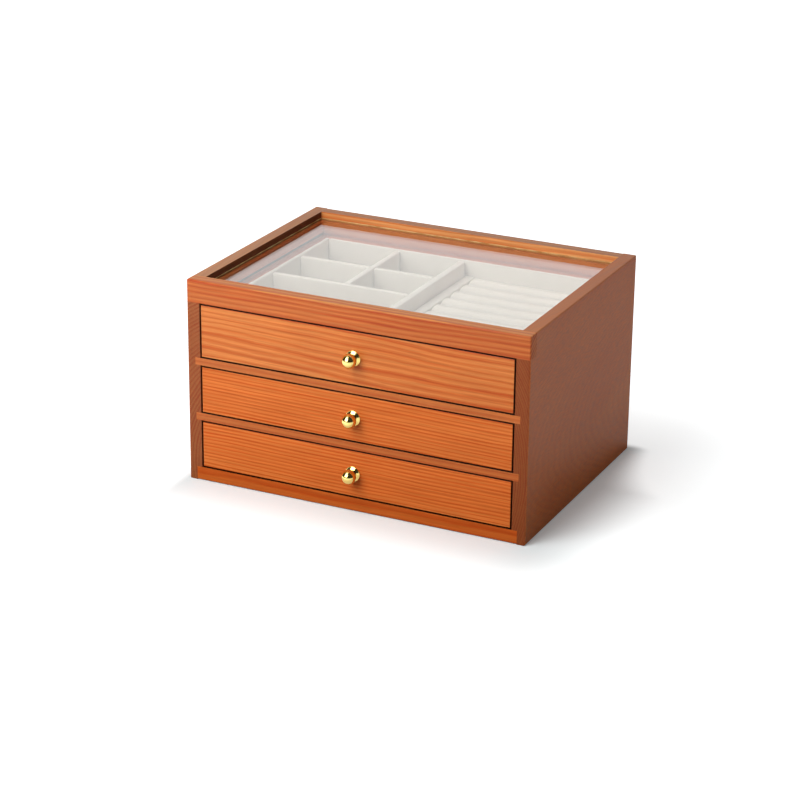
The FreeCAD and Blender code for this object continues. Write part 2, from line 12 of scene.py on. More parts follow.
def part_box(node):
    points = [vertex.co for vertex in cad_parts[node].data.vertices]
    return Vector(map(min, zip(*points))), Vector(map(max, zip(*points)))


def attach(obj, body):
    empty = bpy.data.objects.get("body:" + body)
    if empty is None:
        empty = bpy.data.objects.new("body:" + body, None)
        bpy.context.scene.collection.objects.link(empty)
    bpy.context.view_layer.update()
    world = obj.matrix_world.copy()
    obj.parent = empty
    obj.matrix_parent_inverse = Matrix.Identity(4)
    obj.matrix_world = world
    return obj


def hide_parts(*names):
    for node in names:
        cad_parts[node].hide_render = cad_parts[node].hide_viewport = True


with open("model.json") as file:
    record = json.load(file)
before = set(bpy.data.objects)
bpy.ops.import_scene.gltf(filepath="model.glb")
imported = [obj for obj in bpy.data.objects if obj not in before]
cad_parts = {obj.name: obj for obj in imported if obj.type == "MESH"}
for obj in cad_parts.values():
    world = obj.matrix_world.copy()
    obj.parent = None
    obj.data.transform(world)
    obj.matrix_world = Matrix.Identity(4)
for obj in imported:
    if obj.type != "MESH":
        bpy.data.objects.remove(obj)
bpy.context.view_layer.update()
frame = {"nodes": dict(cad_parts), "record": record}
cad_nodes = frame["nodes"]
LEVELS = ("lower", "middle", "upper")


# Shader helpers
def new_material(name):
    """An empty material with a Principled shader on its output."""
    material = bpy.data.materials.new(name)
    material.use_nodes = True
    shader = material.node_tree.nodes["Principled BSDF"]
    return material, material.node_tree, shader


def add(tree, kind, inputs=None, **settings):
    """A node with its settings. Each input is a value, or another node's output to link."""
    made = tree.nodes.new(kind)
    for key, value in settings.items():
        setattr(made, key, value)
    for key, value in (inputs or {}).items():
        feed(tree, made.inputs[key], value)
    return made


def feed(tree, socket, value):
    if isinstance(value, bpy.types.NodeSocket):
        tree.links.new(value, socket)
    else:
        socket.default_value = value


def maths(tree, operation, *values):
    made = add(tree, "ShaderNodeMath", dict(enumerate(values)), operation=operation)
    return made.outputs[0]


def vector_maths(tree, operation, *values):
    made = add(tree, "ShaderNodeVectorMath", dict(enumerate(values)), operation=operation)
    return made.outputs["Value" if operation in ("LENGTH", "DOT_PRODUCT") else "Vector"]


def map_range(tree, value, low, high, to_low, to_high, easing="LINEAR"):
    inputs = {"Value": value, "From Min": low, "From Max": high, "To Min": to_low, "To Max": to_high}
    return add(tree, "ShaderNodeMapRange", inputs, interpolation_type=easing).outputs["Result"]


def noise_at(tree, vector, scales, detail=2.0):
    """Noise that varies by its own scale, in cells per metre, along each axis."""
    stretched = vector_maths(tree, "MULTIPLY", vector, scales)
    inputs = {"Vector": stretched, "Scale": 1.0, "Detail": detail}
    return add(tree, "ShaderNodeTexNoise", inputs).outputs["Fac"]


def mix_colour(tree, share, first, second, blend="MIX"):
    made = tree.nodes.new("ShaderNodeMix")
    made.data_type = "RGBA"
    made.blend_type = blend
    feed(tree, made.inputs["Factor"], share)
    feed(tree, made.inputs["A"], first)
    feed(tree, made.inputs["B"], second)
    return made.outputs["Result"]


def colour(red, green, blue):
    return (red, green, blue, 1.0)


def grey(level):
    return colour(level, level, level)


# Stained wood
# Each board is cut from a log: the pith is where the log's middle runs, and rings lie round it
ALONG_X = (0.0, 0.0, 0.0)
ALONG_Y = (0.0, 0.0, math.pi / 2)
STAIN_LIGHT = colour(0.70, 0.205, 0.056)
STAIN_RED = colour(0.63, 0.155, 0.034)
STAIN_DARK = colour(0.51, 0.062, 0.006)
END_SOAK = 0.60
END_LINE_SHARE = 0.9
# Painted shade on faces inside the case, and in the narrow gaps round the drawers, where it is darkest
# close behind the front and keeps a share of its dark further in
INSIDE_SHADE, GAP_SHADE = (0.26, 0.26, 0.26), (0.10, 0.10, 0.10)
GAP_DEPTH, GAP_FADE = 0.0030, 0.0015
DEEP_SHADE_SHARE = 0.30
# Cells of noise per metre, along the grain and across it
SLOW_BEND, QUICK_BEND = (6.0, 22.0, 22.0), (30.0, 90.0, 90.0)
RING_FADING, PATCHES = (14.0, 160.0, 160.0), (7.0, 30.0, 30.0)
FIBRE, PORES = (28.0, 1100.0, 1100.0), (120.0, 2600.0, 2600.0)
# How much further the slow bends of the rings go than the quick ones
SLOW_WANDER = 5.0
# How slowly the widths of the rings change from year to year, and how much, in rings
SEASON_STEP, SEASON_SPREAD = 0.31, 0.7
STREAK_SHARE, PORE_SHARE = 0.30, 0.25
SMOOTH_WOOD, DULL_WOOD, END_ROUGHNESS = 0.40, 0.54, 0.12
RING_RELIEF_SHARE, FIBRE_RELIEF_SHARE = 0.2, 0.8
GRAIN_BUMP, GRAIN_DEPTH = 0.22, 0.00025
COAT_WEIGHT, COAT_ROUGHNESS = 0.04, 0.30
# Darkness across one year's ring: share of the ring, share of full dark
RING_PROFILE_SHARES = ((0.0, 0.45), (0.14, 0.0), (0.38, 0.08), (0.62, 0.60), (0.82, 1.0), (1.0, 0.45))
# Ways that a face can look
LEFT, RIGHT = (-1.0, 0.0, 0.0), (1.0, 0.0, 0.0)
FORWARD = (0.0, -1.0, 0.0)
DOWN, UP = (0.0, 0.0, -1.0), (0.0, 0.0, 1.0)


class Board:
    """How one board's grain runs: its pith from the board's middle, its tilt, its rings and its stain.

    soak is the share of dark that the end grain takes up, tint the board's tone in red, green and blue,
    and shine the level of its gloss. faces pairs the way a face looks with a tone, in red, green and blue
    too, mostly painted light and shade: shade inside the case and in the gaps, light and sheen on tops
    and on the back rail's inner face. A face with painted shade is rough as well.
    """

    def __init__(
        self, along, pith, tilt, ring, wander, contrast, soak=0.6, tint=(1.0, 1.0, 1.0), shine=0.26, faces=()
    ):
        self.along = along
        self.pith = Vector(pith)
        self.tilt = tilt
        self.ring = ring
        self.wander = wander
        self.contrast = contrast
        self.soak = soak
        self.tint = tint
        self.shine = shine
        self.faces = faces


def log_rotation(board):
    """Turns the log's own X along the board's grain, then tilts it up and sideways by degrees."""
    rise, swing = (math.radians(angle) for angle in board.tilt)
    tilt = Euler((0.0, -rise, swing)).to_matrix()
    turn = Euler(board.along).to_matrix()
    return (turn @ tilt).to_euler()


def ring_lines(tree, log, board):
    """Share of dark along the year's rings, which wander and differ in width and strength."""
    across = vector_maths(tree, "MULTIPLY", log, (0.0, 1.0, 1.0))
    radius = vector_maths(tree, "LENGTH", across)
    slow = noise_at(tree, log, SLOW_BEND, detail=2.0)
    quick = noise_at(tree, log, QUICK_BEND, detail=3.0)
    slow_wander = SLOW_WANDER * board.wander
    slow_shift = maths(tree, "MULTIPLY_ADD", slow, slow_wander, -slow_wander / 2)
    quick_shift = maths(tree, "MULTIPLY_ADD", quick, board.wander, -board.wander / 2)
    wandered = maths(tree, "ADD", maths(tree, "ADD", radius, slow_shift), quick_shift)
    even = maths(tree, "DIVIDE", wandered, board.ring)
    season_place = maths(tree, "MULTIPLY", even, SEASON_STEP)
    season = add(tree, "ShaderNodeTexNoise", {"W": season_place}, noise_dimensions="1D")
    count = maths(tree, "MULTIPLY_ADD", season.outputs["Fac"], SEASON_SPREAD, even)
    ramp = tree.nodes.new("ShaderNodeValToRGB")
    ramp.color_ramp.interpolation = "EASE"
    stops = ramp.color_ramp.elements
    while len(stops) < len(RING_PROFILE_SHARES):
        stops.new(0.5)
    for stop, (place, dark) in zip(stops, RING_PROFILE_SHARES):
        stop.position = place
        stop.color = grey(dark)
    tree.links.new(maths(tree, "FRACT", count), ramp.inputs["Fac"])
    year = add(tree, "ShaderNodeTexWhiteNoise", {"W": maths(tree, "FLOOR", count)}, noise_dimensions="1D")
    strength = map_range(tree, year.outputs["Value"], 0.0, 1.0, 0.75, 1.0)
    fading = map_range(tree, noise_at(tree, log, RING_FADING, detail=3.0), 0.32, 0.68, 0.7, 1.1)
    return maths(tree, "MULTIPLY", maths(tree, "MULTIPLY", ramp.outputs["Color"], strength), fading)


def wood(name, board, low, high):
    """A stained and varnished board: rings, fibres, pores, end grain and a satin coat."""
    material, tree, shader = new_material(name)
    coords = add(tree, "ShaderNodeTexCoord")
    rotation = log_rotation(board)
    heart = (low + high) / 2 + board.pith
    placing = {"Vector": coords.outputs["Object"], "Location": heart, "Rotation": rotation}
    log = add(tree, "ShaderNodeMapping", placing, vector_type="TEXTURE").outputs["Vector"]
    rings = ring_lines(tree, log, board)
    fibre = noise_at(tree, log, FIBRE, detail=3.0)
    patches = noise_at(tree, log, PATCHES, detail=2.0)
    pore_noise = noise_at(tree, log, PORES, detail=1.0)
    pores = map_range(tree, pore_noise, 0.62, 0.74, 0.0, 1.0)

    grain_way = Vector((1.0, 0.0, 0.0))
    grain_way.rotate(Euler(board.along))
    facing = vector_maths(tree, "DOT_PRODUCT", coords.outputs["Normal"], grain_way)
    end_grain = map_range(tree, maths(tree, "ABSOLUTE", facing), 0.6, 0.95, 0.0, 1.0)

    end_line = board.contrast + (END_LINE_SHARE - board.contrast) * board.soak
    line_share = map_range(tree, end_grain, 0.0, 1.0, board.contrast, end_line)
    ground = mix_colour(tree, map_range(tree, patches, 0.3, 0.7, 0.0, 0.75), STAIN_LIGHT, STAIN_RED)
    lined = mix_colour(tree, maths(tree, "MULTIPLY", rings, line_share), ground, STAIN_DARK)
    streaks = map_range(tree, fibre, 0.3, 0.7, 0.55, 1.35)
    streaked = mix_colour(tree, STREAK_SHARE, lined, streaks, "MULTIPLY")
    pored = mix_colour(tree, maths(tree, "MULTIPLY", pores, PORE_SHARE), streaked, STAIN_DARK)
    soaked = mix_colour(tree, end_grain, pored, grey(1.0 - END_SOAK * board.soak), "MULTIPLY")
    toned = mix_colour(tree, 1.0, soaked, colour(*board.tint), "MULTIPLY")
    gloss = map_range(tree, fibre, 0.2, 0.8, SMOOTH_WOOD, DULL_WOOD)
    rough = maths(tree, "MULTIPLY_ADD", end_grain, END_ROUGHNESS, gloss)
    depth = add(tree, "ShaderNodeSeparateXYZ", {"Vector": coords.outputs["Object"]}).outputs["Y"]
    gap_end = low.y + GAP_DEPTH
    gap_shade_share = map_range(tree, depth, gap_end, gap_end + GAP_FADE, 1.0, DEEP_SHADE_SHARE)
    # Tones by the way a face looks, mostly painted light and shade; the painted gap shade fades further in
    for way, tone in board.faces:
        looking = vector_maths(tree, "DOT_PRODUCT", coords.outputs["Normal"], way)
        share = map_range(tree, looking, 0.45, 0.85, 0.0, 1.0)
        if tone == GAP_SHADE:
            share = maths(tree, "MULTIPLY", share, gap_shade_share)
        toned = mix_colour(tree, share, toned, colour(*tone), "MULTIPLY")
        if tone in (INSIDE_SHADE, GAP_SHADE):
            rough = maths(tree, "MAXIMUM", rough, share)
    tree.links.new(toned, shader.inputs["Base Color"])
    tree.links.new(rough, shader.inputs["Roughness"])
    shader.inputs["Specular IOR Level"].default_value = board.shine
    ring_relief = maths(tree, "MULTIPLY", rings, RING_RELIEF_SHARE)
    fibre_relief = maths(tree, "MULTIPLY", fibre, FIBRE_RELIEF_SHARE)
    relief = maths(tree, "ADD", ring_relief, fibre_relief)
    bump = add(tree, "ShaderNodeBump", {"Strength": GRAIN_BUMP, "Distance": GRAIN_DEPTH, "Height": relief})
    tree.links.new(bump.outputs["Normal"], shader.inputs["Normal"])
    shader.inputs["Coat Weight"].default_value = COAT_WEIGHT
    shader.inputs["Coat Roughness"].default_value = COAT_ROUGHNESS
    return material


SIDE_RING = 0.0017
FINE_RING = 0.0025
RAIL_RING = 0.0028
COARSE_RING = 0.0032
# Painted gap shade on the edges of the drawer fronts and on the upper and lower faces of boards
LEVEL_FACES = ((DOWN, GAP_SHADE), (UP, GAP_SHADE))
EDGES = ((LEFT, GAP_SHADE), (RIGHT, GAP_SHADE)) + LEVEL_FACES
BOARDS = {
    "front_top_rail": Board(
        ALONG_X, (0.0, 0.060, -0.075), (0.3, 0.4), RAIL_RING, 0.0012, 1.0, 0.0,
        tint=(0.86, 0.84, 0.65), shine=0.28,
        faces=(
            # Painted shade underneath, and painted light and sheen that make the top lighter and paler
            (DOWN, GAP_SHADE),
            (UP, (1.20, 1.60, 1.55)),
            (RIGHT, (1.25, 1.25, 1.25)),
            (LEFT, (1.20, 1.20, 1.20)),
        ),
    ),
    "upper_drawer_front": Board(
        ALONG_X, (0.0, 0.080, -0.090), (-0.9, 0.5), COARSE_RING, 0.0016, 1.0,
        tint=(1.03, 1.16, 1.00), shine=0.24, faces=EDGES,
    ),
    "middle_drawer_front": Board(
        ALONG_X, (0.0, 0.030, -0.150), (-0.5, 0.2), FINE_RING, 0.0008, 1.0,
        tint=(1.10, 1.06, 0.85), shine=0.11, faces=EDGES,
    ),
    "lower_drawer_front": Board(
        ALONG_X, (0.0, 0.040, 0.140), (-0.4, 0.3), FINE_RING, 0.0008, 1.0,
        tint=(1.16, 1.08, 0.82), shine=0.11, faces=EDGES,
    ),
    "lower_shelf": Board(
        ALONG_X, (0.0, 0.030, -0.110), (0.2, 0.0), FINE_RING, 0.0008, 0.7,
        tint=(0.85, 0.82, 0.65), faces=LEVEL_FACES,
    ),
    "upper_shelf": Board(
        ALONG_X, (0.0, 0.040, 0.090), (-0.2, 0.1), FINE_RING, 0.0008, 0.7,
        tint=(0.85, 0.82, 0.65), faces=LEVEL_FACES,
    ),
    "bottom_board": Board(
        ALONG_X, (0.0, 0.070, 0.070), (0.4, 0.0), COARSE_RING, 0.0010, 0.9,
        tint=(0.96, 0.74, 0.45), shine=0.05, faces=((UP, GAP_SHADE),),
    ),
    "left_side_panel": Board(
        ALONG_Y, (0.068, 0.0, -0.058), (1.0, 5.0), FINE_RING, 0.0008, 0.3, 0.85,
        # Painted shade on the inner face, and painted sheen that makes the top paler and bluer
        shine=0.26, faces=((RIGHT, INSIDE_SHADE), (UP, (0.79, 1.16, 1.65))),
    ),
    "right_side_panel": Board(
        ALONG_Y, (-0.120, 0.0, -0.025), (1.0, -9.7), SIDE_RING, 0.0008, 0.22, 1.0,
        # Painted shade on the inner face, and painted shade and sheen that make the top darker and paler
        tint=(1.08, 0.98, 0.72), faces=((LEFT, INSIDE_SHADE), (UP, (0.70, 0.82, 0.75))),
    ),
    "back_top_rail": Board(
        ALONG_X, (0.0, -0.060, 0.060), (0.4, 0.2), COARSE_RING, 0.0010, 1.0,
        # Painted light and sheen that make the inner face turned to the front much lighter and paler, and the
        # top paler
        tint=(0.95, 1.00, 0.95), shine=0.34, faces=((FORWARD, (1.30, 1.85, 2.30)), (UP, (0.80, 1.10, 1.15))),
    ),
    "back_panel": Board(
        ALONG_X, (0.0, 0.050, 0.010), (0.8, 0.6), COARSE_RING, 0.0022, 0.6, tint=(0.85, 0.85, 0.85)
    ),
    # Painted shade: the back cleat under the glass is made darker than the other boards
    "back_glass_cleat": Board(
        ALONG_X, (0.0, 0.060, -0.070), (0.4, 0.3), FINE_RING, 0.0012, 0.7, tint=(0.65, 0.65, 0.50)
    ),
}
SLOT_NODES = {}
for subpart in frame["record"]["subparts"]:
    SLOT_NODES.setdefault(subpart["material_slot"], []).append(subpart["node"])


def plain_board(node, turn):
    """Grain for a board that hardly shows: along its longer side, with a pith that turns round it."""
    low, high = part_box(node)
    size = high - low
    lengthways = size.x > size.y
    angle = turn * math.radians(137.5)
    side, rise = 0.09 * math.cos(angle), 0.09 * math.sin(angle)
    pith = (0.0, side, rise) if lengthways else (side, 0.0, rise)
    return Board(ALONG_X if lengthways else ALONG_Y, pith, (0.4, 0.3), FINE_RING, 0.0012, 0.7)


def dress_wood():
    for turn, node in enumerate(SLOT_NODES["stained_wood"] + SLOT_NODES["plywood"]):
        board = BOARDS.get(node) or plain_board(node, turn)
        dress(node, wood(f"wood_{node}", board, *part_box(node)))


def dress(node, material):
    """Gives a node of the frame one material."""
    slots = cad_nodes[node].data.materials
    slots.clear()
    slots.append(material)


# Brass and steel
# Painted shade in the groove between a knob's ball and its base: how far it reaches out from the drawer front
GROOVE_START, GROOVE_END = 0.0016, 0.0050
BASE_FADE, BALL_FADE = 0.0008, 0.0025
BRASS_BRIGHT, BRASS_DULL = colour(0.98, 0.77, 0.26), colour(0.90, 0.63, 0.17)
GROOVE_SHADE = colour(0.22, 0.10, 0.025)
GROOVE_SHADE_SHARE = 0.85


def brass():
    """Polished brass with faint polishing lines, a little tarnish and painted shade in the groove behind the
    ball.
    """
    material, tree, shader = new_material("polished_brass")
    coords = add(tree, "ShaderNodeTexCoord").outputs["Object"]
    tarnish = noise_at(tree, coords, (260.0, 260.0, 260.0), detail=3.0)
    dulled = map_range(tree, tarnish, 0.35, 0.75, 0.0, 0.5)
    tone = mix_colour(tree, dulled, BRASS_BRIGHT, BRASS_DULL)
    depth = add(tree, "ShaderNodeSeparateXYZ", {"Vector": coords}).outputs["Y"]
    reach = maths(tree, "SUBTRACT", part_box("lower_drawer_front")[0].y, depth)
    past_base = map_range(tree, reach, GROOVE_START, GROOVE_START + BASE_FADE, 0.0, 1.0)
    before_ball = map_range(tree, reach, GROOVE_END, GROOVE_END + BALL_FADE, 1.0, 0.0)
    # Painted shade in the groove
    groove = maths(tree, "MULTIPLY", maths(tree, "MULTIPLY", past_base, before_ball), GROOVE_SHADE_SHARE)
    tone = mix_colour(tree, groove, tone, GROOVE_SHADE)
    lines = noise_at(tree, coords, (900.0, 5200.0, 900.0), detail=2.0)
    tree.links.new(tone, shader.inputs["Base Color"])
    tree.links.new(map_range(tree, lines, 0.3, 0.7, 0.05, 0.11), shader.inputs["Roughness"])
    shader.inputs["Metallic"].default_value = 1.0
    return material


def steel():
    """Zinc-plated screw steel."""
    material, tree, shader = new_material("screw_zinc")
    coords = add(tree, "ShaderNodeTexCoord").outputs["Object"]
    spangle = noise_at(tree, coords, (900.0, 900.0, 900.0), detail=3.0)
    tone = mix_colour(tree, spangle, colour(0.52, 0.53, 0.55), colour(0.70, 0.70, 0.68))
    tree.links.new(tone, shader.inputs["Base Color"])
    tree.links.new(map_range(tree, spangle, 0.3, 0.7, 0.24, 0.42), shader.inputs["Roughness"])
    shader.inputs["Metallic"].default_value = 1.0
    return material


# Glass
GLASS_SEAM = 0.0004
GLASS_LIFT = 0.00006
LEVEL_SHARE = 0.99
GLASS_TONE, GLASS_THROUGH = colour(0.99, 0.985, 0.97), colour(0.985, 0.975, 0.945)
GLASS_IOR = 1.5


def clear_glass():
    """Clear glass that lets lamps through, with a faint film of dust."""
    material, tree, shader = new_material("clear_glass")
    coords = add(tree, "ShaderNodeTexCoord").outputs["Object"]
    film = noise_at(tree, coords, (24.0, 24.0, 24.0), detail=4.0)
    tree.links.new(map_range(tree, film, 0.4, 0.8, 0.0, 0.03), shader.inputs["Roughness"])
    shader.inputs["Base Color"].default_value = GLASS_TONE
    shader.inputs["IOR"].default_value = GLASS_IOR
    shader.inputs["Transmission Weight"].default_value = 1.0
    path = add(tree, "ShaderNodeLightPath")
    open_way = maths(tree, "MAXIMUM", path.outputs["Is Shadow Ray"], path.outputs["Is Diffuse Ray"])
    through = add(tree, "ShaderNodeBsdfTransparent")
    through.inputs["Color"].default_value = GLASS_THROUGH
    either = tree.nodes.new("ShaderNodeMixShader")
    feed(tree, either.inputs[0], open_way)
    feed(tree, either.inputs[1], shader.outputs["BSDF"])
    feed(tree, either.inputs[2], through.outputs["BSDF"])
    tree.links.new(either.outputs["Shader"], tree.nodes["Material Output"].inputs["Surface"])
    return material


def glass_pane(material, glint_material):
    """The pane, a hair above its cleats, with seamed edges that carry a painted gold glint."""
    low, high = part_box("glass_pane")
    low.z += GLASS_LIFT
    mesh = bmesh.new()
    bmesh.ops.create_cube(mesh, size=1.0, matrix=box_matrix(low, high))
    bmesh.ops.bevel(mesh, geom=mesh.edges[:], offset=GLASS_SEAM, segments=2, profile=0.5, affect="EDGES")
    mesh.normal_update()
    for face in mesh.faces:
        face.material_index = 0 if abs(face.normal.z) > LEVEL_SHARE else 1
    pane = finished("glass_pane_clear", mesh, material, "case")
    pane.data.materials.append(glint_material)
    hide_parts("glass_pane")


SEAL_WIDTH = 0.0004
SEAL_STEPS = 6
# Painted glint on the pane's seamed edges and on the seal, each in a dim and a bright gold
EDGE_GLINT_DIM, EDGE_GLINT_BRIGHT = colour(0.34, 0.14, 0.034), colour(0.46, 0.24, 0.08)
SEAL_GLINT_DIM, SEAL_GLINT_BRIGHT = colour(0.52, 0.22, 0.05), colour(0.90, 0.66, 0.30)


def painted_glint_lacquer(name, thin, thick):
    """Clear glazing lacquer in a painted glint: thin is its dim gold, thick the bright gold of its lumps,
    which are painted broken highlights.
    """
    material, tree, shader = new_material(name)
    coords = add(tree, "ShaderNodeTexCoord").outputs["Object"]
    lumps = noise_at(tree, coords, (90.0, 90.0, 90.0), detail=3.0)
    glint_share = map_range(tree, lumps, 0.35, 0.65, 0.0, 1.0)
    tone = mix_colour(tree, glint_share, thin, thick)
    tree.links.new(tone, shader.inputs["Base Color"])
    tree.links.new(map_range(tree, lumps, 0.3, 0.7, 0.35, 0.5), shader.inputs["Roughness"])
    shader.inputs["Specular IOR Level"].default_value = 0.15
    return material


def glass_seal(material):
    """A thin rounded bead that seals the pane to the rails and side panels all round."""
    bead_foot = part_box("glass_pane")[1].z + GLASS_LIFT
    wall_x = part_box("right_glass_cleat")[1].x
    wall_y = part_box("back_glass_cleat")[1].y
    section = [(0.0, 0.0)]
    for step in range(SEAL_STEPS + 1):
        angle = math.pi / 2 * step / SEAL_STEPS
        section.append((SEAL_WIDTH * math.cos(angle), SEAL_WIDTH * math.sin(angle)))
    mesh = bmesh.new()
    corners = []
    for side_x, side_y in ((-1, -1), (1, -1), (1, 1), (-1, 1)):
        ring = [
            mesh.verts.new((side_x * (wall_x - inward), side_y * (wall_y - inward), bead_foot + rise))
            for inward, rise in section
        ]
        corners.append(ring)
    for number, ring in enumerate(corners):
        after = corners[(number + 1) % len(corners)]
        for i in range(len(section)):
            j = (i + 1) % len(section)
            mesh.faces.new((ring[i], ring[j], after[j], after[i]))
    finished("glass_seal", mesh, material, "case")


def box_matrix(low, high):
    return Matrix.Translation((low + high) / 2) @ Matrix.Diagonal((*(high - low), 1.0))


def finished(name, mesh, material, body, smooth=False):
    """Puts a mesh in the scene as a piece that rides on a body."""
    data = bpy.data.meshes.new(name)
    bmesh.ops.recalc_face_normals(mesh, faces=mesh.faces[:])
    mesh.to_mesh(data)
    mesh.free()
    data.polygons.foreach_set("use_smooth", [smooth] * len(data.polygons))
    piece = bpy.data.objects.new(name, data)
    bpy.context.scene.collection.objects.link(piece)
    data.materials.append(material)
    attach(piece, body)
    return piece


# Flannel
# Painted shade: the tone of flannel faces turned to the front
FRONT_SHADE = 0.66
FLANNEL_DEEP, FLANNEL_PALE = colour(0.89, 0.853, 0.775), colour(0.93, 0.893, 0.82)


def flannel():
    """Cream flannel with a short brushed nap, and painted shade on faces turned to the front."""
    material, tree, shader = new_material("cream_flannel")
    coords = add(tree, "ShaderNodeTexCoord").outputs["Object"]
    nap = noise_at(tree, coords, (90.0, 90.0, 90.0), detail=3.0)
    fibre = noise_at(tree, coords, (2600.0, 2600.0, 2600.0), detail=2.0)
    raised = map_range(tree, nap, 0.3, 0.7, 0.0, 1.0)
    brushed = mix_colour(tree, raised, FLANNEL_DEEP, FLANNEL_PALE)
    flecked = mix_colour(tree, 0.25, brushed, map_range(tree, fibre, 0.3, 0.7, 0.75, 1.15), "MULTIPLY")
    turned = vector_maths(tree, "DOT_PRODUCT", add(tree, "ShaderNodeTexCoord").outputs["Normal"], FORWARD)
    front_shade_share = map_range(tree, turned, 0.2, 0.8, 0.0, 1.0)
    front_shaded = mix_colour(tree, front_shade_share, flecked, grey(FRONT_SHADE), "MULTIPLY")
    tree.links.new(front_shaded, shader.inputs["Base Color"])
    tree.links.new(map_range(tree, fibre, 0.3, 0.7, 0.85, 1.0), shader.inputs["Roughness"])
    relief = maths(tree, "ADD", fibre, maths(tree, "MULTIPLY", nap, 0.6))
    bump = add(tree, "ShaderNodeBump", {"Strength": 0.35, "Distance": 0.0003, "Height": relief})
    tree.links.new(bump.outputs["Normal"], shader.inputs["Normal"])
    shader.inputs["Sheen Weight"].default_value = 0.25
    shader.inputs["Sheen Roughness"].default_value = 0.6
    shader.inputs["Specular IOR Level"].default_value = 0.1
    return material


SOFT_STEP = 0.0045
SOFT_RIPPLE = 0.00016
RIPPLE_CELLS = 70.0
ROUND_SHARES = (0.3, 0.65)


def soft_places(low, high, radius, low_round=True):
    """Places along one side: close together over the rounded ends, then evenly spaced."""
    start, end = low + (radius if low_round else 0.0), high - radius
    steps = max(1, round((end - start) / SOFT_STEP))
    middle = [start + (end - start) * step / steps for step in range(steps + 1)]
    front = [low] + [low + radius * share for share in ROUND_SHARES] if low_round else []
    back = [high - radius * share for share in reversed(ROUND_SHARES)] + [high]
    return front + middle + back


def shell_mesh(places):
    """The closed surface of a box divided at the given places along X, Y and Z."""
    mesh = bmesh.new()
    points = {}
    last = [len(along) - 1 for along in places]

    def point(*index):
        if index not in points:
            points[index] = mesh.verts.new([along[i] for along, i in zip(places, index)])
        return points[index]

    for axis in range(3):
        first, second = [other for other in range(3) if other != axis]
        for end in (0, last[axis]):
            for i in range(last[first]):
                for j in range(last[second]):
                    corners = []
                    for di, dj in ((0, 0), (1, 0), (1, 1), (0, 1)):
                        index = [0, 0, 0]
                        index[axis], index[first], index[second] = end, i + di, j + dj
                        corners.append(point(*index))
                    mesh.faces.new(corners)
    return mesh


def soften(mesh, low, high, radius, seed):
    """Rounds all but the lower edges, and lets the cloth ripple a little over the board."""
    inner_low = Vector((low.x + radius, low.y + radius, low.z))
    inner_high = high - Vector((radius, radius, radius))
    shift = Vector((seed * 3.7, seed * 1.9, 0.0))
    for vert in mesh.verts:
        core = Vector(max(a, min(b, c)) for a, b, c in zip(inner_low, inner_high, vert.co))
        out = vert.co - core
        if out.length > 0.0:
            out.normalize()
            ripple = SOFT_RIPPLE * (noise.noise(vert.co * RIPPLE_CELLS + shift) - 1.0)
            vert.co = core + out * (radius + ripple)


def soft_board(name, low, high, radius, body, node, seed, fill=0.3):
    """A board wrapped in flannel, which stands for a node."""
    low, high = Vector(low), Vector(high)
    places = [
        soft_places(low.x, high.x, radius),
        soft_places(low.y, high.y, radius),
        soft_places(low.z, high.z, radius, low_round=False),
    ]
    mesh = shell_mesh(places)
    soften(mesh, low, high, radius, seed)
    piece = finished(name, mesh, soft_material, body, smooth=True)
    piece.modifiers.new("round", "SUBSURF").render_levels = 1
    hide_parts(node)
    return piece


WALL_RADIUS = 0.0013
LINING_RADIUS = 0.0006
FLOOR_RADIUS = 0.0008
# Where the ripples of the linings start, so that they differ from the tray's
FLOOR_SEED, LINING_SEED = 20, 30


def dress_tray():
    """Walls, dividers, floor and strip of the tray in the upper drawer."""
    body = "upper_drawer"
    names = ["tray_floor"] + [f"tray_{side}_wall" for side in ("left", "right", "front", "back")]
    names += ["main_divider", "front_row_divider", "column_divider", "ring_strip"]
    for seed, node in enumerate(names):
        radius = FLOOR_RADIUS if node == "tray_floor" else WALL_RADIUS
        soft_board(f"{node}_flannel", *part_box(node), radius, body, node, seed)
    row_low, row_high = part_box("back_row_divider")
    column_low, column_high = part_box("column_divider")
    halves = {"left": (row_low.x, column_low.x), "right": (column_high.x, row_high.x)}
    for seed, (hand, (start, end)) in enumerate(halves.items(), start=len(names)):
        low, high = row_low.copy(), row_high.copy()
        low.x, high.x = start, end
        soft_board(f"back_row_divider_{hand}_flannel", low, high, WALL_RADIUS, body, "back_row_divider", seed)


def dress_linings():
    """Floor and wall linings of the two plain drawers."""
    for level in ("lower", "middle"):
        body = f"{level}_drawer"
        floor, walls = f"{level}_drawer_lining_floor", f"{level}_drawer_lining_walls"
        floor_low, floor_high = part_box(floor)
        low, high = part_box(walls)
        floor_seed = LEVELS.index(level) + FLOOR_SEED
        soft_board(f"{floor}_flannel", floor_low, floor_high, FLOOR_RADIUS, body, floor, floor_seed)
        sides = {
            "left": ((low.x, low.y, low.z), (floor_low.x, high.y, high.z)),
            "right": ((floor_high.x, low.y, low.z), (high.x, high.y, high.z)),
            "front": ((floor_low.x, low.y, low.z), (floor_high.x, floor_low.y, high.z)),
            "back": ((floor_low.x, floor_high.y, low.z), (floor_high.x, high.y, high.z)),
        }
        for seed, (side, (first, last)) in enumerate(sides.items(), start=LINING_SEED):
            soft_board(f"{level}_drawer_{side}_lining_flannel", first, last, LINING_RADIUS, body, walls, seed)


# Ring rolls: foam in flannel, blown up by a cloth simulation at ten times the size
ROLL_COUNT = 10
ROLL_GAP = 0.0004
ROLL_SLACK = 0.0003
ROLL_CAP = 0.0005
CROWN_SHARE = 0.45
SIM_SCALE = 10.0
SIM_VOXEL = 0.013
SIM_FRAMES = 20
SIM_PRESSURE = 4.0


